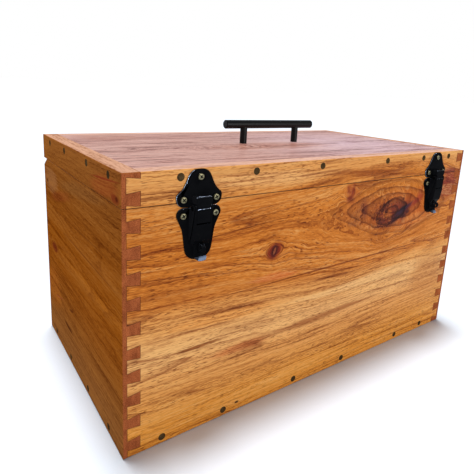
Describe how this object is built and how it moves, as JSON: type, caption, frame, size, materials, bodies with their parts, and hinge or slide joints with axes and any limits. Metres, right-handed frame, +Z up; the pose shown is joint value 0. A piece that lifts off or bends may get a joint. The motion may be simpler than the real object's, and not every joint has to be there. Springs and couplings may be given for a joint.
{
  "type": "wooden trunk",
  "caption": "Wooden storage trunk with dovetailed corners, a hinged lid with a bar carry handle, and draw latches with eyes for padlocks.",
  "frame": {"origin": "centre of the underside of the case", "axes": "+X along the length to the right, +Y from the latches to the hinges, +Z up"},
  "size_m": [0.555, 0.3131, 0.325],
  "materials": {
    "front_wood": "satin",
    "side_wood": "satin",
    "top_wood": "satin",
    "dowel_wood": "satin",
    "hinge_brass": "satin",
    "screw_steel": "satin",
    "handle_black": "satin",
    "latch_black": "gloss"
  },
  "bodies": {
    "case": {"front_board": "front_wood", "back_board": "front_wood", "left_board": "side_wood", "right_board": "side_wood", "bottom_panel": "front_wood", "case_dowels": "dowel_wood", "left_hinge_case_leaf": "hinge_brass", "left_hinge_pin": "hinge_brass", "right_hinge_case_leaf": "hinge_brass", "right_hinge_pin": "hinge_brass", "hinge_case_screws": "hinge_brass", "left_latch_base": "latch_black", "left_latch_staple": "latch_black", "left_latch_rivets": "latch_black", "left_latch_base_screws": "screw_steel", "right_latch_base": "latch_black", "right_latch_staple": "latch_black", "right_latch_rivets": "latch_black", "right_latch_base_screws": "screw_steel"},
    "lid": {"lid_front_rail": "front_wood", "lid_back_rail": "front_wood", "lid_left_rail": "side_wood", "lid_right_rail": "side_wood", "lid_top_panel": "top_wood", "lid_dowels": "dowel_wood", "handle_bar": "handle_black", "handle_left_post": "handle_black", "handle_right_post": "handle_black", "handle_bolts": "screw_steel", "left_hinge_lid_leaf": "hinge_brass", "right_hinge_lid_leaf": "hinge_brass", "hinge_lid_screws": "hinge_brass", "left_latch_strike": "latch_black", "left_latch_strike_screws": "screw_steel", "right_latch_strike": "latch_black", "right_latch_strike_screws": "screw_steel"},
    "left_lever": {"left_latch_lever": "latch_black", "left_latch_claw_pin": "latch_black"},
    "left_claw": {"left_latch_claw": "latch_black"},
    "right_lever": {"right_latch_lever": "latch_black", "right_latch_claw_pin": "latch_black"},
    "right_claw": {"right_latch_claw": "latch_black"}
  },
  "joints": [
    {"name": "lid_hinge", "type": "hinge", "parent": "case", "child": "lid", "pos_m": [0, 0.14643, 0.2563], "axis": [-1, 0, 0], "range_deg": [0, 120]},
    {"name": "left_lever_hinge", "type": "hinge", "parent": "case", "child": "left_lever", "pos_m": [-0.1995, -0.1568, 0.2545], "axis": [-1, 0, 0], "range_deg": [0, 90]},
    {"name": "left_claw_hinge", "type": "hinge", "parent": "left_lever", "child": "left_claw", "pos_m": [-0.1995, -0.1554, 0.2455], "axis": [-1, 0, 0], "range_deg": [-99, 0]},
    {"name": "right_lever_hinge", "type": "hinge", "parent": "case", "child": "right_lever", "pos_m": [0.2035, -0.1568, 0.2545], "axis": [-1, 0, 0], "range_deg": [0, 90]},
    {"name": "right_claw_hinge", "type": "hinge", "parent": "right_lever", "child": "right_claw", "pos_m": [0.2035, -0.1554, 0.2455], "axis": [-1, 0, 0], "range_deg": [-99, 0]}
  ],
  "couplings": [
    {"joint": "left_claw_hinge", "follows": "left_lever_hinge", "ratio": -1.1},
    {"joint": "right_claw_hinge", "follows": "right_lever_hinge", "ratio": -1.1}
  ]
}
